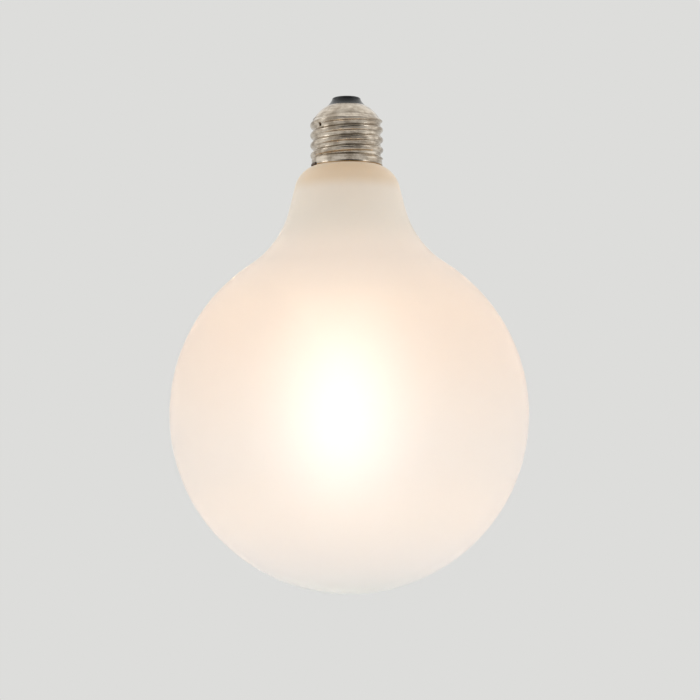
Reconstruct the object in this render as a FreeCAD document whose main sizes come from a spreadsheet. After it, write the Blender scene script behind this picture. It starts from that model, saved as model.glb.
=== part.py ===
import FreeCAD, Part
import math
import os
import re
import Sketcher
from FreeCAD import Placement, Rotation, Vector

# Globe bulb with a frosted glass envelope and a rolled screw cap.
# The bulb hangs cap up. The origin is the middle of the centre contact's face.
# +Z points out of the cap.
# The cap's pieces are drawn with height zero at the rim of the screw shell.
# The envelope is drawn with height zero at the middle of the globe.

SIZES = (
    ("globe_diameter", 127.0, "outside of the blown globe"),
    ("neck_taper", 14.0, "slope of the neck's side from the axis, in degrees"),
    ("neck_radius", 18.6, "neck where its straight side ends and the shoulder starts"),
    ("neck_share", 0.359, "straight part of the neck's side, as a share of the way to the globe"),
    ("shoulder_radius", 10.0, "rounding of the shoulder below the cap"),
    ("neck_length", 88.75, "middle of the globe to the foot of the spigot"),
    ("spigot_radius", 10.8, "stub of the glass inside the cap"),
    ("spigot_length", 12.0, "stub above the shoulder"),
    ("spigot_round", 2.5, "melted edge at the end of the stub"),
    ("rim_gap", 0.25, "open line between the rim and the glass"),
    ("sheet", 0.3, "thickness of the screw shell's metal"),
    ("crest_diameter", 26.1, "outside of the screw thread"),
    ("root_diameter", 24.2, "bottom of the screw thread"),
    ("thread_pitch", 3.629, "seven turns to the inch"),
    ("root_flat", 0.5, "bottom of the groove between two turns, along the axis"),
    ("crest_height", 16.52, "uppermost crest above the rim, on the +X side"),
    ("thread_top", 15.8, "height above the rim where the crest starts to fade"),
    ("thread_bottom", 2.6, "height above the rim where the crest starts to fade"),
    ("collar_diameter", 25.2, "plain band below the thread"),
    ("collar_height", 2.5, "plain band, rim to bevel"),
    ("collar_bevel", 0.6, "bevel that leads from the band to the thread's root"),
    ("rim_flare", 0.15, "lip that stands out at the rim"),
    ("rim_height", 0.5, "height of the flared lip"),
    ("shell_height", 21.6, "rim of the shell to the opening at its top"),
    ("lip_radius", 7.0, "opening at the top of the shell"),
    ("dome_radius", 12.5, "rounding of the shell's domed top"),
    ("dome_offset", 1.0, "middle of that rounding from the axis"),
    ("stake_width", 1.1, "punched hole that stakes the shell, across"),
    ("stake_length", 1.15, "the same hole, upwards"),
    ("stake_lean", 0.2, "the same hole, how far its ends lean sideways"),
    ("stake_height", 13.85, "middle of the same hole above the rim"),
    ("stake_angle", 49.5, "the same hole, turned from the -Y side towards -X, in degrees"),
    ("cement_height", 9.0, "cement above the rim"),
    ("flange_radius", 9.0, "part of the insulator that is held under the dome"),
    ("flange_depth", 3.6, "opening of the shell to the underside of the insulator"),
    ("insulator_height", 3.05, "opening of the shell to the insulator's top"),
    ("skirt_height", 2.0, "cone of the insulator that stands on the opening"),
    ("skirt_radius", 5.3, "insulator at the top of that cone"),
    ("skirt_hollow", 6.0, "hollow curve of that cone's side"),
    ("insulator_radius", 5.1, "insulator near its top"),
    ("insulator_round", 0.6, "rounding of its top edge"),
    ("contact_diameter", 7.5, "head of the centre contact"),
    ("contact_thickness", 0.7, "the same head, upwards"),
    ("contact_proud", 0.15, "head above the insulator"),
    ("contact_bevel", 0.12, "broken edge of the head"),
    ("shank_diameter", 2.0, "nail that carries the current through the insulator"),
    ("shank_length", 7.0, "face of the head to the end of the nail"),
    ("contact_clearance", 0.05, "room around the head and the nail"),
    ("solder_width", 4.4, "solder that joins the return wire to the rim, along the rim"),
    ("solder_height", 0.8, "the same spot above the rim"),
    ("solder_proud", 0.3, "the same spot, out from the rim"),
    ("solder_angle", 70.0, "the same spot, turned from the -Y side towards -X, in degrees"),
)

# Turns of the thread that are swept below the uppermost crest, before the run-outs cut them.
TURNS_BELOW = 5
# Turns from the uppermost crest down to the start of the channel behind the ridge.
CHANNEL_START = 3
CHANNEL_TURNS = 2.5
# Half the channel's width at its mouth, as a share of the pitch.
CHANNEL_MOUTH = 0.3
# How far a cutting outline reaches past the metal that it cuts.
REACH = 1.0

doc = FreeCAD.newDocument("globe_bulb")
table = doc.addObject("Spreadsheet::Sheet", "Sizes")
for row, (name, value, note) in enumerate(SIZES, start=1):
    table.set(f"A{row}", name)
    table.set(f"B{row}", str(value))
    table.set(f"C{row}", note)
    table.setAlias(f"B{row}", name)
doc.recompute()
CELLS = {name for name, value, note in SIZES}


def formula(text):
    """A formula in cell names, with the table's name put before each of them."""

    def cell(found):
        word = found.group()
        return f"Sizes.{word}" if word in CELLS else word

    return re.sub(r"[a-z_]+", cell, text)


def number(text):
    """What a formula in cell names comes to."""
    return float(table.evalExpression(formula(text)))


def bind(thing, prop, text):
    thing.setExpression(prop, formula(text))


# Formulas that more than one piece uses
GLOBE = "(globe_diameter / 2)"
CREST = "crest_diameter / 2"
ROOT = "root_diameter / 2"
ROOT_INSIDE = "root_diameter / 2 - sheet"
COLLAR = "collar_diameter / 2"
COLLAR_INSIDE = "collar_diameter / 2 - sheet"
RIDGE_DEPTH = "((crest_diameter - root_diameter) / 2)"
FLANK = "(crest_diameter + root_diameter) / 4"
WAVE = f"((thread_pitch^2 / 16 + {RIDGE_DEPTH}^2 / 4) / {RIDGE_DEPTH})"
DOME_MIDDLE = "(shell_height - sqrt(dome_radius^2 - (lip_radius - dome_offset)^2))"
SHOULDER_MIDDLE = "(neck_radius - shoulder_radius * cos(neck_taper))"
SHOULDER_LEVEL = f"(neck_length - sqrt(shoulder_radius^2 - (spigot_radius - {SHOULDER_MIDDLE})^2))"
NECK_LEVEL = f"({SHOULDER_LEVEL} + shoulder_radius * sin(neck_taper))"
NECK_REACH = f"({NECK_LEVEL} * cos(neck_taper) - neck_radius * sin(neck_taper))"
NECK_MISS = f"({NECK_LEVEL} * sin(neck_taper) + neck_radius * cos(neck_taper))"
NECK_SIDE = f"(neck_share * ({NECK_REACH} - sqrt({GLOBE}^2 - {NECK_MISS}^2)))"
SEAT = f"({SHOULDER_LEVEL} + sqrt(shoulder_radius^2 - ({COLLAR_INSIDE} - {SHOULDER_MIDDLE})^2))"
RIM = "(collar_diameter / 2 + rim_flare)"
CONTACT = "contact_diameter / 2"
INSULATOR_TOP = "(shell_height + insulator_height)"
CAP_LENGTH = "(shell_height + insulator_height + contact_proud)"
CONTACT_SEAT = f"({CAP_LENGTH} - contact_thickness)"
SHANK = "shank_diameter / 2"


def dome(radius, inset="0"):
    """Height of the shell's domed top, or of a surface inside it, at a distance from the axis."""
    return f"({DOME_MIDDLE} + sqrt((dome_radius - {inset})^2 - ({radius} - dome_offset)^2))"


def new_body(label, height=None):
    """A piece of its own. Its height zero lies at the rim, or at a height given from the rim."""
    body = doc.addObject("PartDesign::Body", label)
    body.Label = label
    rim = f"-{CAP_LENGTH}"
    bind(body, "Placement.Base.z", f"{rim} + {height}" if height else rim)
    return body


def new_sketch(body, name):
    """A sketch on the body's own upright plane: across is the distance from the axis, up is height."""
    sketch = body.newObject("Sketcher::SketchObject", name)
    plane = next(item for item in body.Origin.OriginFeatures if item.Role == "XZ_Plane")
    sketch.AttachmentSupport = [(plane, "")]
    sketch.MapMode = "FlatFace"
    return sketch


def turn_plane(sketch, angle):
    """Turns a sketch's plane about the axis."""
    sketch.AttachmentOffset = Placement(Vector(0, 0, 0), Rotation(Vector(0, 1, 0), number(angle)))
    bind(sketch, "AttachmentOffset.Rotation.Angle", f"({angle}) * 1 deg")


def constrain(sketch, kind, *where, size=None):
    """One constraint, with its size bound to a formula where it has one."""
    if size is None:
        return sketch.addConstraint(Sketcher.Constraint(kind, *where))
    degrees = kind == "Angle"
    start = number(size)
    if degrees:
        start = math.radians(start)
    index = sketch.addConstraint(Sketcher.Constraint(kind, *where, start))
    bind(sketch, f"Constraints[{index}]", f"({size}) * 1 deg" if degrees else size)
    return index


def place_corner(sketch, side, end, across, up):
    """Ties one end of a side to its distance from the axis and to its height."""
    if across == "0":
        constrain(sketch, "PointOnObject", side, end, -2)
    else:
        constrain(sketch, "DistanceX", -1, 1, side, end, size=across)
    if up == "0":
        constrain(sketch, "PointOnObject", side, end, -1)
    else:
        constrain(sketch, "DistanceY", -1, 1, side, end, size=up)


def arc_middle(start, end, radius):
    """Middle of an arc that bulges to the right of the way from start to end."""
    chord = end - start
    along = chord / chord.Length
    left = Vector(-along.y, along.x, 0)
    return start + chord / 2 + left * math.sqrt(radius**2 - (chord.Length / 2) ** 2)


def add_arc(sketch, middle, radius, start, end):
    """An arc about its middle, which turns to the left from start to end."""
    angles = [math.atan2(point.y - middle.y, point.x - middle.x) for point in (start, end)]
    if angles[1] < angles[0]:
        angles[1] += 2 * math.pi
    circle = Part.Circle(middle, Vector(0, 0, 1), radius)
    sketch.addGeometry(Part.ArcOfCircle(circle, *angles), False)


def outline(body, name, corners, arcs=None):
    """A closed outline through its corners, counter-clockwise.

    arcs gives the sides that aren't straight: the radius, and whether the side is hollow.
    """
    sketch = new_sketch(body, name)
    arcs = arcs or {}
    points = [Vector(number(across), number(up), 0) for across, up in corners]
    ends = {}
    for side, start in enumerate(points):
        end = points[(side + 1) % len(points)]
        if side not in arcs:
            sketch.addGeometry(Part.LineSegment(start, end), False)
            ends[side] = (1, 2)
            continue
        text, hollow = arcs[side]
        first, last = (end, start) if hollow else (start, end)
        radius = number(text)
        add_arc(sketch, arc_middle(first, last, radius), radius, first, last)
        ends[side] = (2, 1) if hollow else (1, 2)
    for side in range(len(points)):
        following = (side + 1) % len(points)
        constrain(sketch, "Coincident", side, ends[side][1], following, ends[following][0])
    for side, (across, up) in enumerate(corners):
        place_corner(sketch, side, ends[side][0], across, up)
    for side, (text, hollow) in arcs.items():
        constrain(sketch, "Radius", side, size=text)
    return sketch


def turned(body, kind, name, sketch):
    """Turns an outline right round the axis, as metal that is added or cut away."""
    feature = body.newObject(f"PartDesign::{kind}", name)
    feature.Profile = sketch
    feature.ReferenceAxis = (sketch, ["V_Axis"])
    feature.Angle = 360
    sketch.Visibility = False
    body.Tip = feature
    doc.recompute()
    return feature


def wound(body, kind, name, sketch, height):
    """Winds an outline up the axis as a right-hand screw."""
    feature = body.newObject(f"PartDesign::{kind}", name)
    feature.Profile = sketch
    feature.ReferenceAxis = (sketch, ["V_Axis"])
    feature.Mode = 0
    bind(feature, "Pitch", "thread_pitch")
    bind(feature, "Height", height)
    feature.LeftHanded = False
    sketch.Visibility = False
    body.Tip = feature
    doc.recompute()
    return feature


# Glass envelope
def glass_envelope():
    """Globe, neck, shoulder and spigot blown as one, closed and filled because nothing shows through it."""
    body = new_body("glass_envelope", f"(-rim_gap - {SEAT})")
    sketch = new_sketch(body, "envelope_outline")
    globe = number(GLOBE)
    shoulder = number("shoulder_radius")
    taper = math.radians(number("neck_taper"))
    down = Vector(math.sin(taper), -math.cos(taper), 0)
    out = Vector(math.cos(taper), math.sin(taper), 0)

    # The hollow curve runs from the foot of the neck's straight side to the globe, tangent to both
    shoulder_middle = Vector(number(SHOULDER_MIDDLE), number(SHOULDER_LEVEL), 0)
    neck_top = Vector(number("neck_radius"), number(NECK_LEVEL), 0)
    neck_foot = neck_top + down * number(NECK_SIDE)
    fillet = (neck_foot.dot(neck_foot) - globe**2) / (2 * (globe - neck_foot.dot(out)))
    fillet_middle = neck_foot + out * fillet
    globe_top = fillet_middle * (globe / (globe + fillet))
    spigot = number("spigot_radius")
    spigot_foot = Vector(spigot, number("neck_length"), 0)
    spigot_top = number("neck_length + spigot_length")
    melt = number("spigot_round")
    melt_middle = Vector(spigot - melt, spigot_top - melt, 0)
    melt_start = melt_middle + Vector(melt, 0, 0)
    melt_end = melt_middle + Vector(0, melt, 0)
    bottom = Vector(0, -globe, 0)
    top = Vector(0, spigot_top, 0)

    globe_side, fillet_side, neck_side, shoulder_side = range(4)
    add_arc(sketch, Vector(0, 0, 0), globe, bottom, globe_top)
    add_arc(sketch, fillet_middle, fillet, neck_foot, globe_top)
    sketch.addGeometry(Part.LineSegment(neck_foot, neck_top), False)
    add_arc(sketch, shoulder_middle, shoulder, neck_top, spigot_foot)

    spigot_side, melt_side, end_side, axis_side = range(4, 8)
    sketch.addGeometry(Part.LineSegment(spigot_foot, melt_start), False)
    add_arc(sketch, melt_middle, melt, melt_start, melt_end)
    sketch.addGeometry(Part.LineSegment(melt_end, top), False)
    sketch.addGeometry(Part.LineSegment(top, bottom), False)

    constrain(sketch, "Coincident", globe_side, 3, -1, 1)
    constrain(sketch, "PointOnObject", globe_side, 1, -2)
    constrain(sketch, "Radius", globe_side, size=GLOBE)
    constrain(sketch, "Tangent", globe_side, 2, fillet_side, 2)
    constrain(sketch, "Tangent", fillet_side, 1, neck_side, 1)
    constrain(sketch, "Distance", neck_side, size=NECK_SIDE)
    constrain(sketch, "Angle", neck_side, size="90 + neck_taper")
    constrain(sketch, "DistanceX", -1, 1, neck_side, 2, size="neck_radius")
    constrain(sketch, "Tangent", neck_side, 2, shoulder_side, 1)
    constrain(sketch, "Radius", shoulder_side, size="shoulder_radius")
    constrain(sketch, "DistanceX", -1, 1, shoulder_side, 2, size="spigot_radius")
    constrain(sketch, "DistanceY", -1, 1, shoulder_side, 2, size="neck_length")
    constrain(sketch, "Coincident", shoulder_side, 2, spigot_side, 1)
    constrain(sketch, "Vertical", spigot_side)
    constrain(sketch, "Tangent", spigot_side, 2, melt_side, 1)
    constrain(sketch, "Radius", melt_side, size="spigot_round")
    constrain(sketch, "Tangent", melt_side, 2, end_side, 1)
    constrain(sketch, "Horizontal", end_side)
    constrain(sketch, "PointOnObject", end_side, 2, -2)
    constrain(sketch, "DistanceY", -1, 1, end_side, 1, size="neck_length + spigot_length")
    constrain(sketch, "Coincident", end_side, 2, axis_side, 1)
    constrain(sketch, "Coincident", axis_side, 2, globe_side, 1)
    turned(body, "Revolution", "envelope", sketch)
    return body


# Basing cement
def basing_cement():
    """Ring that fills the space between the glass and the shell, and lies on the shoulder."""
    body = new_body("basing_cement")
    corners = (
        ("spigot_radius", "cement_height"),
        ("spigot_radius", f"neck_length - {SEAT} - rim_gap"),
        (COLLAR_INSIDE, "-rim_gap"),
        (COLLAR_INSIDE, "collar_height"),
        (ROOT_INSIDE, "collar_height + collar_bevel"),
        (ROOT_INSIDE, "cement_height"),
    )
    sketch = outline(body, "cement_outline", corners, {1: ("shoulder_radius", True)})
    turned(body, "Revolution", "cement", sketch)
    return body


# Screw shell
def screw_shell():
    """Sheet metal cap: a turned blank, the thread rolled into it, and the inside hollowed to the sheet."""
    body = new_body("screw_shell")
    core = (
        ("0", "collar_height / 2"),
        (ROOT, "collar_height / 2"),
        (ROOT, dome(ROOT)),
        ("0", dome(ROOT)),
    )
    turned(body, "Revolution", "root_core", outline(body, "root_outline", core))

    # The ridge is a wave: a crown, and a hollow curve of the same radius on each side of it
    start = f"(crest_height - {TURNS_BELOW} * thread_pitch)"
    foot = "(thread_pitch - root_flat) / 2"
    ridge = (
        (f"{ROOT_INSIDE} - sheet", f"{start} - {foot}"),
        (ROOT, f"{start} - {foot}"),
        (FLANK, f"{start} - thread_pitch / 4"),
        (FLANK, f"{start} + thread_pitch / 4"),
        (ROOT, f"{start} + {foot}"),
        (f"{ROOT_INSIDE} - sheet", f"{start} + {foot}"),
    )
    curves = {1: (WAVE, True), 2: (WAVE, False), 3: (WAVE, True)}
    sketch = outline(body, "ridge_outline", ridge, curves)
    wound(body, "AdditiveHelix", "thread_ridge", sketch, f"shell_height - {start}")

    # The crest fades into the dome above and into the collar below, along two cones of 45 degrees
    top = (
        (f"{CREST} + {REACH}", f"thread_top - {REACH}"),
        (f"{CREST} + {REACH}", "shell_height + thread_pitch"),
        ("lip_radius", "shell_height + thread_pitch"),
        ("lip_radius", f"thread_top + {CREST} - lip_radius"),
    )
    turned(body, "Groove", "top_run_out", outline(body, "top_run_out_outline", top))
    bottom = (
        (f"{CREST} + {REACH}", f"thread_bottom + {REACH}"),
        (f"{CREST} - thread_bottom", "0"),
        (f"{CREST} - thread_bottom", "-thread_pitch"),
        (f"{CREST} + {REACH}", "-thread_pitch"),
    )
    turned(body, "Groove", "bottom_run_out", outline(body, "bottom_run_out_outline", bottom))

    domed = (
        ("0", "thread_top - thread_pitch"),
        (ROOT_INSIDE, "thread_top - thread_pitch"),
        (ROOT, dome(ROOT)),
        ("lip_radius", "shell_height"),
        ("0", "shell_height"),
    )
    sketch = outline(body, "dome_outline", domed, {2: ("dome_radius", False)})
    turned(body, "Revolution", "dome", sketch)
    collar = (
        ("0", "0"),
        (RIM, "0"),
        (COLLAR, "rim_height"),
        (COLLAR, "collar_height"),
        (ROOT, "collar_height + collar_bevel"),
        (ROOT_INSIDE, "collar_height + thread_pitch / 2"),
        ("0", "collar_height + thread_pitch / 2"),
    )
    turned(body, "Revolution", "collar", outline(body, "collar_outline", collar))

    inside = (
        ("0", f"-{REACH}"),
        (COLLAR_INSIDE, f"-{REACH}"),
        (COLLAR_INSIDE, "collar_height"),
        (ROOT_INSIDE, "collar_height + collar_bevel"),
        (ROOT_INSIDE, dome(ROOT_INSIDE, "sheet")),
        ("lip_radius", dome("lip_radius", "sheet")),
        ("lip_radius", f"shell_height + {REACH}"),
        ("0", f"shell_height + {REACH}"),
    )
    sketch = outline(body, "inside_outline", inside, {4: ("dome_radius - sheet", False)})
    turned(body, "Groove", "inside", sketch)

    # Behind the ridge the sheet is pushed out, which leaves a channel
    middle = f"(crest_height - {CHANNEL_START} * thread_pitch)"
    channel = (
        (f"{ROOT_INSIDE} - sheet / 2", f"{middle} - thread_pitch * {CHANNEL_MOUTH}"),
        (f"{CREST} - sheet * 2", f"{middle} - thread_pitch / 8"),
        (f"{CREST} - sheet * 2", f"{middle} + thread_pitch / 8"),
        (f"{ROOT_INSIDE} - sheet / 2", f"{middle} + thread_pitch * {CHANNEL_MOUTH}"),
    )
    sketch = outline(body, "channel_outline", channel)
    wound(body, "SubtractiveHelix", "thread_channel", sketch, f"{CHANNEL_TURNS} * thread_pitch")

    # One punched hole in a groove of the thread, on a plane turned to face it
    hole = (
        ("-stake_width / 2 - stake_lean", "stake_height - stake_length / 2"),
        ("stake_width / 2 - stake_lean", "stake_height - stake_length / 2"),
        ("stake_width / 2 + stake_lean", "stake_height + stake_length / 2"),
        ("-stake_width / 2 + stake_lean", "stake_height + stake_length / 2"),
    )
    sketch = outline(body, "stake_outline", hole)
    turn_plane(sketch, "-stake_angle")
    whole = body.Tip.Shape.Volume
    pocket = body.newObject("PartDesign::Pocket", "stake")
    pocket.Profile = sketch
    pocket.Reversed = True
    bind(pocket, "Length", f"{CREST} + {REACH}")
    sketch.Visibility = False
    body.Tip = pocket
    doc.recompute()
    if pocket.Shape.Volume >= whole:
        raise RuntimeError("the punched hole misses the shell")
    return body


# Insulator
def insulator():
    """Black moulding that closes the shell's top and stands up as a cone around the contact."""
    body = new_body("insulator")
    corners = (
        (f"{SHANK} + contact_clearance", "shell_height - flange_depth"),
        ("flange_radius", "shell_height - flange_depth"),
        ("flange_radius", dome("flange_radius", "sheet")),
        ("lip_radius", dome("lip_radius", "sheet")),
        ("lip_radius", "shell_height"),
        ("skirt_radius", "shell_height + skirt_height"),
        ("insulator_radius", f"{INSULATOR_TOP} - insulator_round"),
        ("insulator_radius - insulator_round", INSULATOR_TOP),
        (f"{CONTACT} + contact_clearance", INSULATOR_TOP),
        (f"{CONTACT} + contact_clearance", CONTACT_SEAT),
        (f"{SHANK} + contact_clearance", CONTACT_SEAT),
    )
    arcs = {
        2: ("dome_radius - sheet", False),
        4: ("skirt_hollow", True),
        6: ("insulator_round", False),
    }
    turned(body, "Revolution", "moulding", outline(body, "moulding_outline", corners, arcs))
    return body


# Centre contact
def centre_contact():
    """Flat-headed nail whose head lies in the insulator and whose shank goes down through it."""
    body = new_body("centre_contact")
    corners = (
        ("0", f"{CAP_LENGTH} - shank_length"),
        (SHANK, f"{CAP_LENGTH} - shank_length"),
        (SHANK, CONTACT_SEAT),
        (CONTACT, CONTACT_SEAT),
        (CONTACT, f"{CAP_LENGTH} - contact_bevel"),
        (f"{CONTACT} - contact_bevel", CAP_LENGTH),
        ("0", CAP_LENGTH),
    )
    turned(body, "Revolution", "nail", outline(body, "nail_outline", corners))
    return body


# Solder spot
def rim_solder():
    """Small lump of solder that joins the return wire to the rim, and closes the gap below it there."""
    body = new_body("rim_solder")
    corners = (
        (COLLAR_INSIDE, "-rim_gap"),
        (RIM, "-rim_gap"),
        (f"{RIM} + solder_proud", "0"),
        (f"{RIM} + solder_proud / 2", "rim_height"),
        (COLLAR, "solder_height"),
        (COLLAR, "rim_height"),
        (RIM, "0"),
        (COLLAR_INSIDE, "0"),
    )
    sketch = outline(body, "solder_outline", corners)
    turn_plane(sketch, "-90 - solder_angle")
    spot = turned(body, "Revolution", "spot", sketch)
    spot.Midplane = True
    bind(spot, "Angle", f"solder_width / ({RIM}) * 180 / pi * 1 deg")
    return body


PIECES = (glass_envelope, basing_cement, screw_shell, insulator, centre_contact, rim_solder)


def check_and_write(bodies):
    """Nothing is written unless every step has worked and every piece is a sound solid."""
    doc.recompute()
    for thing in doc.Objects:
        if {"Invalid", "Error"} & set(thing.State):
            raise RuntimeError(f"{thing.Name} failed: {thing.State}")
    os.makedirs("parts", exist_ok=True)
    for body in bodies:
        if body.Shape.isNull() or not body.Shape.isValid() or not body.Shape.Solids:
            raise RuntimeError(f"{body.Label} has no sound solid")
        body.Shape.exportStep(f"parts/{body.Label}.step")
        box = body.Shape.BoundBox
        print(f"{body.Label}: {body.Shape.Volume:.2f} mm3, z {box.ZMin:.2f} to {box.ZMax:.2f}")


check_and_write([piece() for piece in PIECES])
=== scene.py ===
import math

import bpy
from mathutils import Euler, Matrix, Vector


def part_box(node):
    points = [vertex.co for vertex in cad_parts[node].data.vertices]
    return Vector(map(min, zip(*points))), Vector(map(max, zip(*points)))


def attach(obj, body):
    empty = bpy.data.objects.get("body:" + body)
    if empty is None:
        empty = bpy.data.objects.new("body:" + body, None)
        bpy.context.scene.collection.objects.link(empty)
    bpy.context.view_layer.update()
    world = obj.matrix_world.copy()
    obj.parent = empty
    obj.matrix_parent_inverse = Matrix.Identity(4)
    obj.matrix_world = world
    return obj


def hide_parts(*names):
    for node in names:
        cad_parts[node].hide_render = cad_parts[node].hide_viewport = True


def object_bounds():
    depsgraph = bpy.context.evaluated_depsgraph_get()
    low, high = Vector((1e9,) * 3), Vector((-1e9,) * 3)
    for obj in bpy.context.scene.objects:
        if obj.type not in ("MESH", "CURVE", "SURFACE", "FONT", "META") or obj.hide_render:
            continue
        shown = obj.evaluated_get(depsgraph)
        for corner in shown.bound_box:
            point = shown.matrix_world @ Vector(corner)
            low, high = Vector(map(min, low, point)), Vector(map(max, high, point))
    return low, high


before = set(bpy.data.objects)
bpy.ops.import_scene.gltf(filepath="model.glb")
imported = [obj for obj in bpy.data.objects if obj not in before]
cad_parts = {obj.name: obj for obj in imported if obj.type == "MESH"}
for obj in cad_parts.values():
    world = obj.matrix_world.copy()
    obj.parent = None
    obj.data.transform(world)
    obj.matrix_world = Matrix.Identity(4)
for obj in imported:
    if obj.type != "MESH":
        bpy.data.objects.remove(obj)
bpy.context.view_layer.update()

MM = 0.001

# The envelope's outline, in metres, with the measures of the part's source
GLOBE = 63.5 * MM
TAPER = math.radians(14.0)
NECK = 18.6 * MM
SHOULDER = 10.0 * MM
NECK_LENGTH = 88.75 * MM
SPIGOT = 10.8 * MM
SPIGOT_LENGTH = 12.0 * MM
SPIGOT_ROUND = 2.5 * MM
WALL = 0.8 * MM

# Radius of the hollow curve, which follows from neck_share in the part's source and is rounded here
FILLET = 34.0 * MM

# Heights of the globe's middle, from which the outline is worked out, and of the shell's rim
GLOBE_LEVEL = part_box("glass_envelope")[0][2] + GLOBE
RIM_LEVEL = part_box("screw_shell")[0][2]

# Steps along the outline's curves, and around the axis
GLOBE_STEPS = 72
FILLET_STEPS = 20
SHOULDER_STEPS = 16
MELT_STEPS = 8
AROUND = 128

# A point this near to the axis lies on it
ON_AXIS = 1e-7

# Noise keeps between these values for the most part
NOISE_LOW = 0.3
NOISE_HIGH = 0.7


def srgb(red, green, blue):
    """A colour written as it looks on a screen, as Blender's linear values."""
    values = []
    for value in (red, green, blue):
        value /= 255
        values.append(value / 12.92 if value <= 0.04045 else ((value + 0.055) / 1.055) ** 2.4)
    return (*values, 1.0)


def grey(tone):
    """A grey of one linear value."""
    return (tone, tone, tone, 1.0)


BLACK = grey(0.0)
WHITE = grey(1.0)


# Objects
def put(name, data):
    """A new object in the scene."""
    thing = bpy.data.objects.new(name, data)
    bpy.context.scene.collection.objects.link(thing)
    return thing


def new_mesh(name, vertices, faces):
    mesh = bpy.data.meshes.new(name)
    mesh.from_pydata(vertices, [], faces)
    return mesh


# Material nodes
def new_material(name):
    material = bpy.data.materials.new(name)
    material.use_nodes = True
    tree = material.node_tree
    shader = tree.nodes["Principled BSDF"]
    return material, tree, shader


def add(tree, kind, **settings):
    node = tree.nodes.new(kind)
    for name, value in settings.items():
        setattr(node, name, value)
    return node


def ramp(tree, source, stops, interpolation="EASE"):
    """A colour ramp, with its stops as pairs of place and colour."""
    node = add(tree, "ShaderNodeValToRGB")
    node.color_ramp.interpolation = interpolation
    elements = node.color_ramp.elements
    while len(elements) < len(stops):
        elements.new(0.5)
    for element, (place, colour) in zip(elements, stops):
        element.position = place
        element.color = colour
    tree.links.new(source, node.inputs["Fac"])
    return node.outputs["Color"]


def span(tree, source, low, high, to_low=0.0, to_high=1.0):
    """Maps low to high onto to_low to to_high, and holds the ends."""
    node = add(tree, "ShaderNodeMapRange")
    node.inputs["From Min"].default_value = low
    node.inputs["From Max"].default_value = high
    node.inputs["To Min"].default_value = to_low
    node.inputs["To Max"].default_value = to_high
    tree.links.new(source, node.inputs["Value"])
    return node.outputs["Result"]


def combine(tree, operation, first, second):
    """The sum or product of two values, held between 0 and 1."""
    node = add(tree, "ShaderNodeMath", operation=operation, use_clamp=True)
    tree.links.new(first, node.inputs[0])
    tree.links.new(second, node.inputs[1])
    return node.outputs[0]


def scaled_plus(tree, source, factor, rest, hold=False):
    """The source times the factor, plus the rest. hold keeps the result between 0 and 1."""
    node = add(tree, "ShaderNodeMath", operation="MULTIPLY_ADD", use_clamp=hold)
    node.inputs[1].default_value = factor
    tree.links.new(source, node.inputs[0])
    tree.links.new(rest, node.inputs[2])
    return node.outputs[0]


def stretched(tree, point, factors):
    """The point with each direction multiplied by its factor."""
    node = add(tree, "ShaderNodeVectorMath", operation="MULTIPLY")
    node.inputs[1].default_value = factors
    tree.links.new(point, node.inputs[0])
    return node.outputs[0]


def mixed(tree, share, first, second):
    """Two shaders, where a share of 0 shows the first and 1 the second."""
    node = add(tree, "ShaderNodeMixShader")
    tree.links.new(share, node.inputs["Fac"])
    tree.links.new(first, node.inputs[1])
    tree.links.new(second, node.inputs[2])
    return node.outputs[0]


def surface_point(tree):
    """The point on the object, in metres."""
    return add(tree, "ShaderNodeTexCoord").outputs["Object"]


def part_of(tree, vector, direction):
    """The X, Y or Z of a vector."""
    parts = add(tree, "ShaderNodeSeparateXYZ")
    tree.links.new(vector, parts.inputs["Vector"])
    return parts.outputs[direction]


def noise(tree, point, scale, detail=4.0, roughness=0.55):
    node = add(tree, "ShaderNodeTexNoise")
    node.inputs["Scale"].default_value = scale
    node.inputs["Detail"].default_value = detail
    node.inputs["Roughness"].default_value = roughness
    tree.links.new(point, node.inputs["Vector"])
    return node.outputs["Fac"]


def bump(tree, shader, height, strength, distance):
    node = add(tree, "ShaderNodeBump")
    node.inputs["Strength"].default_value = strength
    node.inputs["Distance"].default_value = distance
    tree.links.new(height, node.inputs["Height"])
    tree.links.new(node.outputs["Normal"], shader.inputs["Normal"])


def seen_rays(tree):
    """1 for rays from the camera, off glossy surfaces and through glass, and 0 for the rest."""
    path = add(tree, "ShaderNodeLightPath")
    rays = path.outputs["Is Camera Ray"]
    for kind in ("Is Glossy Ray", "Is Transmission Ray"):
        rays = combine(tree, "ADD", rays, path.outputs[kind])
    return rays


# Envelope
def arc(middle, radius, start, end, steps):
    """Points from the start angle to the end angle."""
    points = []
    for step in range(steps + 1):
        angle = start + (end - start) * step / steps
        points.append((middle.x + radius * math.cos(angle), middle.y + radius * math.sin(angle)))
    return points


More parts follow.
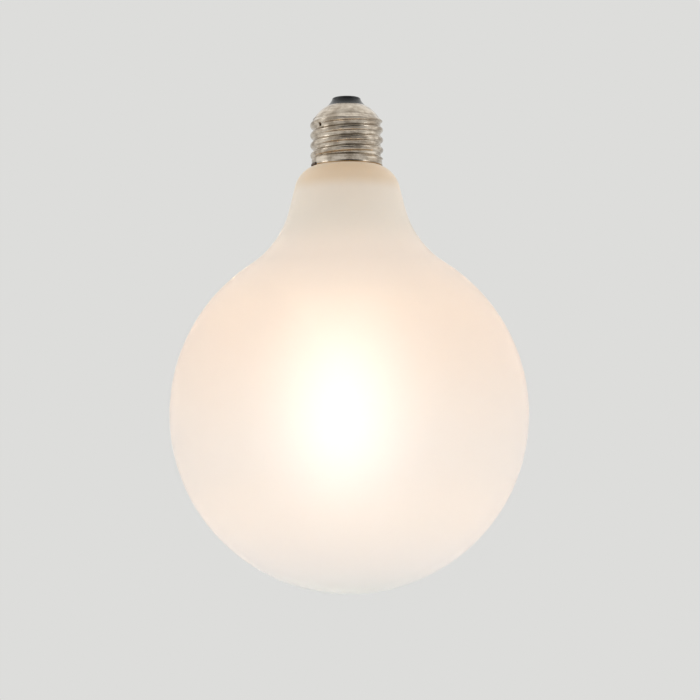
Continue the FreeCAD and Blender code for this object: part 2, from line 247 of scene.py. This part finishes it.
def envelope_profile(inset):
    """Distance from the axis and height of the envelope's wall, bottom to top, moved in by inset."""
    down = Vector((math.sin(TAPER), -math.cos(TAPER)))
    out = Vector((math.cos(TAPER), math.sin(TAPER)))
    shoulder_across = NECK - SHOULDER * math.cos(TAPER)
    shoulder_level = NECK_LENGTH - math.sqrt(SHOULDER**2 - (SPIGOT - shoulder_across) ** 2)
    shoulder_middle = Vector((shoulder_across, shoulder_level))

    # The hollow curve touches the neck's straight side and the globe
    offset = shoulder_middle + out * (SHOULDER + FILLET)
    reach = offset.dot(down)
    side = -reach - math.sqrt(reach**2 - offset.dot(offset) + (GLOBE + FILLET) ** 2)
    fillet_middle = offset + down * side

    globe_end = math.atan2(fillet_middle.y, fillet_middle.x)
    globe = arc(Vector((0, 0)), GLOBE - inset, -math.pi / 2, globe_end, GLOBE_STEPS)
    fillet = arc(fillet_middle, FILLET + inset, globe_end + math.pi, math.pi + TAPER, FILLET_STEPS)

    spigot = SPIGOT - inset
    shoulder_top = math.acos((spigot - shoulder_across) / (SHOULDER - inset))
    shoulder = arc(shoulder_middle, SHOULDER - inset, TAPER, shoulder_top, SHOULDER_STEPS)

    # The stub's end, where the glass was melted shut
    end_level = NECK_LENGTH + SPIGOT_LENGTH - inset
    melt = SPIGOT_ROUND - inset
    stub_end = arc(Vector((spigot - melt, end_level - melt)), melt, 0.0, math.pi / 2, MELT_STEPS)
    return globe + fillet[1:] + shoulder + stub_end + [(0.0, end_level)]


def lathe(name, walls):
    """Turns profiles about the axis. The second of each pair says whether the wall faces inwards."""
    vertices, faces = [], []
    for profile, inwards in walls:
        rings = []
        for across, level in profile:
            first = len(vertices)
            if across < ON_AXIS:
                vertices.append((0.0, 0.0, level + GLOBE_LEVEL))
                rings.append([first] * AROUND)
                continue
            for step in range(AROUND):
                angle = 2 * math.pi * step / AROUND
                vertices.append((across * math.cos(angle), across * math.sin(angle), level + GLOBE_LEVEL))
            rings.append(list(range(first, first + AROUND)))
        for lower, upper in zip(rings, rings[1:]):
            for step in range(AROUND):
                following = (step + 1) % AROUND
                corners = [lower[step], lower[following], upper[following], upper[step]]
                corners = list(dict.fromkeys(corners))
                faces.append(corners[::-1] if inwards else corners)
    mesh = new_mesh(name, vertices, faces)
    mesh.validate()
    for polygon in mesh.polygons:
        polygon.use_smooth = True
    return put(name, mesh)


# Tint of the glass by height, from 0 at the bottom of the globe to 1 at the cap's rim. It is lighter in
# the globe's middle and darker towards the bottom; the tan towards the rim is painted shade, where the
# cap and the bulb's inner parts shade the frosting
GLASS_TINT_AND_SHADE = [
    (0.0, srgb(226, 222, 213)),
    (0.25, srgb(244, 236, 226)),
    (0.62, srgb(246, 233, 217)),
    (0.8, srgb(229, 219, 208)),
    (0.93, srgb(230, 221, 211)),
    (0.965, srgb(220, 200, 174)),
    (1.0, srgb(212, 180, 134)),
]

# Painted glow of the frosting over the same height, in linear values: partly the lit bulb's own glow,
# partly painted light that makes up for the lamps, strongest near the globe's bottom and just below the
# neck
GLASS_PAINTED_GLOW = [
    (0.0, (0.1, 0.12, 0.135, 1.0)),
    (0.06, (0.135, 0.125, 0.145, 1.0)),
    (0.16, (0.1, 0.085, 0.085, 1.0)),
    (0.26, (0.04, 0.04, 0.05, 1.0)),
    (0.36, (0.035, 0.04, 0.055, 1.0)),
    (0.58, (0.035, 0.035, 0.05, 1.0)),
    (0.68, (0.062, 0.055, 0.058, 1.0)),
    (0.79, (0.132, 0.117, 0.106, 1.0)),
    (0.86, (0.035, 0.05, 0.05, 1.0)),
    (0.96, (0.06, 0.05, 0.035, 1.0)),
    (1.0, (0.06, 0.055, 0.045, 1.0)),
]

# The sheen sets in over this part of the height, and whitens the neck's sides
SHEEN_START = 0.84
SHEEN_FULL = 0.95


def frosted_glass():
    """Milky glass with a painted glow and painted shade by height, which lets the light inside through,
    blurred.
    """
    material, tree, shader = new_material("frosted_glass")
    point = surface_point(tree)
    level = span(tree, part_of(tree, point, "Z"), low=GLOBE_LEVEL - GLOBE, high=RIM_LEVEL)
    # The base colour carries the tint and the tan painted shade towards the rim
    tree.links.new(ramp(tree, level, GLASS_TINT_AND_SHADE), shader.inputs["Base Color"])
    # The emission is a painted glow by height, standing in for light on the frosting
    tree.links.new(ramp(tree, level, GLASS_PAINTED_GLOW, "B_SPLINE"), shader.inputs["Emission Color"])
    tree.links.new(span(tree, level, low=SHEEN_START, high=SHEEN_FULL), shader.inputs["Sheen Weight"])
    shader.inputs["Emission Strength"].default_value = 1.0
    shader.inputs["Roughness"].default_value = 0.74
    shader.inputs["IOR"].default_value = 1.45
    shader.inputs["Transmission Weight"].default_value = 0.45
    shader.inputs["Sheen Roughness"].default_value = 0.5
    shader.inputs["Sheen Tint"].default_value = srgb(255, 246, 232)
    grain = noise(tree, point, scale=9000.0, detail=2.0)
    bump(tree, shader, grain, strength=0.12, distance=0.1 * MM)
    return material


envelope = lathe("frosted_envelope", [(envelope_profile(0.0), False), (envelope_profile(WALL), True)])
envelope.data.materials.append(frosted_glass())
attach(envelope, "root")
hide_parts("glass_envelope")


# Cap

# The metal's marks are this much finer along the axis than around it
MARKS_STRETCH = (1.0, 1.0, 26.0)

# The marks make up this share of the metal's tone, and the smudges the rest
MARKS_SHARE = 0.6

# Tone and roughness of a plain material vary by this share
UNEVEN = 0.15

# Painted shade darkens the cement over this height above the rim, inside the shell
CEMENT_SHADE_RISE = 2 * MM

# How much the cement's grain shifts its tone
CEMENT_MOTTLE = 0.2


def cap_metal():
    """Bright nickel with marks that the roll has drawn round it, and faint smudges."""
    material, tree, shader = new_material("cap_metal")
    point = surface_point(tree)
    marks = noise(tree, stretched(tree, point, MARKS_STRETCH), scale=150.0, detail=3.0, roughness=0.6)
    smudge = noise(tree, point, scale=260.0, detail=5.0)
    smudges = span(tree, smudge, NOISE_LOW, NOISE_HIGH, to_high=1.0 - MARKS_SHARE)
    tone = scaled_plus(tree, marks, MARKS_SHARE, smudges)
    colours = [(NOISE_LOW, srgb(156, 143, 127)), (NOISE_HIGH, srgb(210, 199, 184))]
    roughness = span(tree, tone, NOISE_LOW, NOISE_HIGH, to_low=0.22, to_high=0.12)
    tree.links.new(ramp(tree, tone, colours), shader.inputs["Base Color"])
    tree.links.new(roughness, shader.inputs["Roughness"])
    shader.inputs["Metallic"].default_value = 1.0
    bump(tree, shader, marks, strength=0.45, distance=0.06 * MM)
    return material


def plain(name, colour, roughness, metallic=0.0, gloss=0.5):
    """A material of one colour, with uneven tone and gloss and a faint grain."""
    material, tree, shader = new_material(name)
    point = surface_point(tree)
    tone = noise(tree, point, scale=800.0)
    dark = (*(value * (1.0 - UNEVEN) for value in colour[:3]), 1.0)
    colours = [(NOISE_LOW, dark), (NOISE_HIGH, colour)]
    smooth = roughness * (1.0 - UNEVEN)
    rough = roughness * (1.0 + UNEVEN)
    tree.links.new(ramp(tree, tone, colours), shader.inputs["Base Color"])
    tree.links.new(span(tree, tone, NOISE_LOW, NOISE_HIGH, smooth, rough), shader.inputs["Roughness"])
    shader.inputs["Metallic"].default_value = metallic
    shader.inputs["Specular IOR Level"].default_value = gloss
    bump(tree, shader, noise(tree, point, scale=3200.0), strength=0.15, distance=0.1 * MM)
    return material


def cement():
    """Pale where the rim presses it out, and darkened by painted shade inside the shell."""
    material, tree, shader = new_material("cement_brown")
    point = surface_point(tree)
    # Painted shade: the cement darkens with height inside the shell
    painted_shade = span(tree, part_of(tree, point, "Z"), low=RIM_LEVEL, high=RIM_LEVEL + CEMENT_SHADE_RISE)
    grain = noise(tree, point, scale=1600.0)
    mottled = scaled_plus(tree, grain, CEMENT_MOTTLE, painted_shade, hold=True)
    # The pale end is the cement's own tone, the dark end painted shade
    colours = [(0.1, srgb(186, 152, 104)), (0.5, srgb(58, 42, 30))]
    tree.links.new(ramp(tree, mottled, colours), shader.inputs["Base Color"])
    shader.inputs["Roughness"].default_value = 0.85
    bump(tree, shader, grain, strength=0.3, distance=0.1 * MM)
    return material


def dress(node, material):
    """Gives a node of the frame its finish."""
    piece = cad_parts[node]
    piece.data.materials.clear()
    piece.data.materials.append(material)


dress("screw_shell", cap_metal())
dress("insulator", plain("insulator_black", srgb(22, 24, 26), roughness=0.22, gloss=0.36))
dress("basing_cement", cement())
dress("centre_contact", plain("contact_metal", srgb(196, 176, 140), roughness=0.35, metallic=1.0))
dress("rim_solder", plain("solder_dark", srgb(70, 52, 36), roughness=0.5))


# Light inside the envelope, a little to the left of the axis
CORE = Vector((-2.9 * MM, 0.0, GLOBE_LEVEL + 5 * MM))
CORE_RADIUS = 11.0 * MM
CORE_HEIGHT = 60.0 * MM
CORE_LAMPS = 5
CORE_WATTS = 0.0159
CORE_COLOUR = (0.98, 1.055, 1.13)

for lamp in range(CORE_LAMPS):
    light = bpy.data.lights.new(f"core_{lamp}", "POINT")
    light.energy = CORE_WATTS
    light.color = CORE_COLOUR
    light.shadow_soft_size = CORE_RADIUS
    share = lamp / (CORE_LAMPS - 1) - 0.5
    holder = put(f"core_{lamp}", light)
    holder.location = CORE + Vector((0, 0, share * (CORE_HEIGHT - 2 * CORE_RADIUS)))


# Background
BACKGROUND = srgb(221, 221, 219)
ROOM_LIGHT = grey(0.72)


def pale_world():
    """Lights the bulb evenly from all sides, and shows the background's own tone."""
    world = bpy.data.worlds.new("pale_world")
    world.use_nodes = True
    tree = world.node_tree
    room = tree.nodes["Background"]
    room.inputs["Color"].default_value = ROOM_LIGHT
    seen = add(tree, "ShaderNodeBackground")
    seen.inputs["Color"].default_value = BACKGROUND
    both = mixed(tree, seen_rays(tree), room.outputs[0], seen.outputs[0])
    tree.links.new(both, tree.nodes["World Output"].inputs["Surface"])
    return world


bpy.context.scene.world = pale_world()


# Floor, well below the hanging bulb
FLOOR_DROP = 0.25
FLOOR_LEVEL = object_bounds()[0][2] - FLOOR_DROP
FLOOR_RADIUS = 1.2
FLOOR_SIDES = 96
FLOOR_COLOUR = (0.86, 0.86, 0.85, 1.0)

# The floor fades into the background between these distances from the axis
FADE_START = 0.3
FADE_END = 1.1


def disc(name, radius, level, sides):
    rim = []
    for side in range(sides):
        angle = 2 * math.pi * side / sides
        rim.append((radius * math.cos(angle), radius * math.sin(angle), level))
    return put(name, new_mesh(name, rim, [list(range(sides))]))


def pale_floor():
    """Keeps the bulb's shadow near the axis and runs out into the background's own tone."""
    material, tree, shader = new_material("pale_floor")
    flat = stretched(tree, surface_point(tree), (1.0, 1.0, 0.0))
    length = add(tree, "ShaderNodeVectorMath", operation="LENGTH")
    tree.links.new(flat, length.inputs[0])
    away = span(tree, length.outputs["Value"], FADE_START, FADE_END)
    shader.inputs["Base Color"].default_value = FLOOR_COLOUR
    shader.inputs["Roughness"].default_value = 0.9
    shader.inputs["Specular IOR Level"].default_value = 0.1
    seen = add(tree, "ShaderNodeEmission")
    seen.inputs["Color"].default_value = BACKGROUND
    share = combine(tree, "MULTIPLY", away, seen_rays(tree))
    both = mixed(tree, share, shader.outputs[0], seen.outputs[0])
    tree.links.new(both, tree.nodes["Material Output"].inputs["Surface"])
    return material


floor = disc("floor", FLOOR_RADIUS, FLOOR_LEVEL, FLOOR_SIDES)
floor.data.materials.append(pale_floor())


# Studio lights, all turned to the same point on the axis
LIT_POINT = Vector((0.0, 0.0, -0.09))


def area_light(name, place, size, watts, colour=(1.0, 1.0, 1.0), glossy=True):
    """A soft light. With glossy off, no reflection shows it."""
    light = bpy.data.lights.new(name, "AREA")
    light.shape = "RECTANGLE"
    light.size, light.size_y = size
    light.energy = watts
    light.color = colour
    holder = put(name, light)
    holder.location = place
    holder.rotation_euler = (LIT_POINT - Vector(place)).to_track_quat("-Z", "Y").to_euler()
    holder.visible_glossy = glossy


# Large lights, of which the metal mirrors only the one above
area_light("left_softbox", (-1.0, 0.05, -0.2), (1.6, 1.6), 3.6, colour=(0.95, 1.0, 1.04), glossy=False)
area_light("right_softbox", (1.0, 0.05, -0.2), (1.35, 1.35), 3.0, colour=(0.92, 1.0, 1.1), glossy=False)
area_light("front_softbox", (0.0, -1.0, -0.3), (1.2, 1.0), 2.9, colour=(0.95, 0.94, 0.88), glossy=False)
area_light("top_softbox", (0.0, 0.6, 0.8), (1.6, 1.2), 2.0)

# Weaker lights, which the metal mirrors at the cap's sides and on the thread
area_light("left_gleam", (-0.95, 0.05, -0.2), (1.0, 1.2), 1.15)
area_light("right_gleam", (0.95, 0.05, -0.2), (0.8, 1.2), 1.5)
area_light("left_spark", (-0.79, -0.04, 0.6), (0.32, 0.24), 0.45)
area_light("right_spark", (0.76, -0.2, 0.6), (0.32, 0.24), 0.45)


# Dim side of the studio, which the metal mirrors: a piece of a sphere on the camera's side
SCREEN_RADIUS = 0.7
SCREEN_SIDES = (math.radians(-56), math.radians(82))
SCREEN_LEVELS = (math.radians(-50), math.radians(88))
SCREEN_STEPS = 24

# Tones by height, from 0 at the screen's lower edge to 1 at its upper edge
SCREEN_TONES = [
    (0.0, grey(0.34)),
    (0.32, grey(0.34)),
    (0.41, grey(0.8)),
    (0.445, grey(0.8)),
    (0.485, grey(0.02)),
    (0.65, grey(0.02)),
    (0.73, grey(0.2)),
]

# Where the screen shows, across it and by height: white where it does, black where it is clear
SCREEN_ACROSS = [(0.0, BLACK), (0.36, WHITE), (0.64, WHITE), (1.0, BLACK)]
SCREEN_BY_HEIGHT = [(0.0, BLACK), (0.1, WHITE), (0.73, WHITE), (0.94, BLACK)]


def screen_material():
    """Grey below, pale a little above the cap's level, dark higher up and grey overhead."""
    material, tree, shader = new_material("dim_studio")
    tree.nodes.remove(shader)
    along = add(tree, "ShaderNodeUVMap").outputs["UV"]
    across = part_of(tree, along, "X")
    height = part_of(tree, along, "Y")
    cover = combine(
        tree,
        "MULTIPLY",
        ramp(tree, across, SCREEN_ACROSS),
        ramp(tree, height, SCREEN_BY_HEIGHT),
    )
    seen = add(tree, "ShaderNodeEmission")
    tree.links.new(ramp(tree, height, SCREEN_TONES), seen.inputs["Color"])
    clear = add(tree, "ShaderNodeBsdfTransparent")
    both = mixed(tree, cover, clear.outputs[0], seen.outputs[0])
    tree.links.new(both, tree.nodes["Material Output"].inputs["Surface"])
    return material


def between(ends, step):
    """The value a number of steps along from the first end to the second."""
    return ends[0] + (ends[1] - ends[0]) * step / SCREEN_STEPS


def dim_studio():
    """A curved screen that only reflections show."""
    vertices, faces = [], []
    for row in range(SCREEN_STEPS + 1):
        level = between(SCREEN_LEVELS, row)
        across = SCREEN_RADIUS * math.cos(level)
        height = SCREEN_RADIUS * math.sin(level)
        for column in range(SCREEN_STEPS + 1):
            side = between(SCREEN_SIDES, column)
            vertices.append((across * math.sin(side), -across * math.cos(side), height))
    for row in range(SCREEN_STEPS):
        for column in range(SCREEN_STEPS):
            first = row * (SCREEN_STEPS + 1) + column
            above = first + SCREEN_STEPS + 1
            faces.append((first, first + 1, above + 1, above))
    mesh = new_mesh("dim_studio", vertices, faces)
    layer = mesh.uv_layers.new(name="sweep")
    for loop in mesh.loops:
        row, column = divmod(loop.vertex_index, SCREEN_STEPS + 1)
        layer.data[loop.index].uv = (column / SCREEN_STEPS, row / SCREEN_STEPS)
    mesh.materials.append(screen_material())
    screen = put("dim_studio", mesh)
    screen.visible_camera = False
    screen.visible_diffuse = False
    screen.visible_transmission = False
    screen.visible_shadow = False
    return screen


screen = dim_studio()


# Camera, a little below the middle of the globe and looking slightly up
DISTANCE = 0.8
BELOW_GLOBE = 39.1 * MM
PITCH = math.radians(4.419)
ROLL = math.radians(-0.55)
YAW = math.radians(-0.033)
FOCAL_PIXELS = 2259.7
PICTURE = 700

camera = bpy.data.cameras.new("camera")
camera.sensor_width = 36.0
camera.lens = FOCAL_PIXELS / PICTURE * camera.sensor_width
camera.clip_start = 0.01
eye = put("camera", camera)
eye.location = (0.0, -DISTANCE, GLOBE_LEVEL - BELOW_GLOBE)
turn = Euler((math.pi / 2 + PITCH, 0.0, YAW)).to_matrix() @ Euler((0.0, 0.0, ROLL)).to_matrix()
eye.rotation_euler = turn.to_euler()
bpy.context.scene.camera = eye

bpy.context.scene.view_settings.view_transform = "Standard"
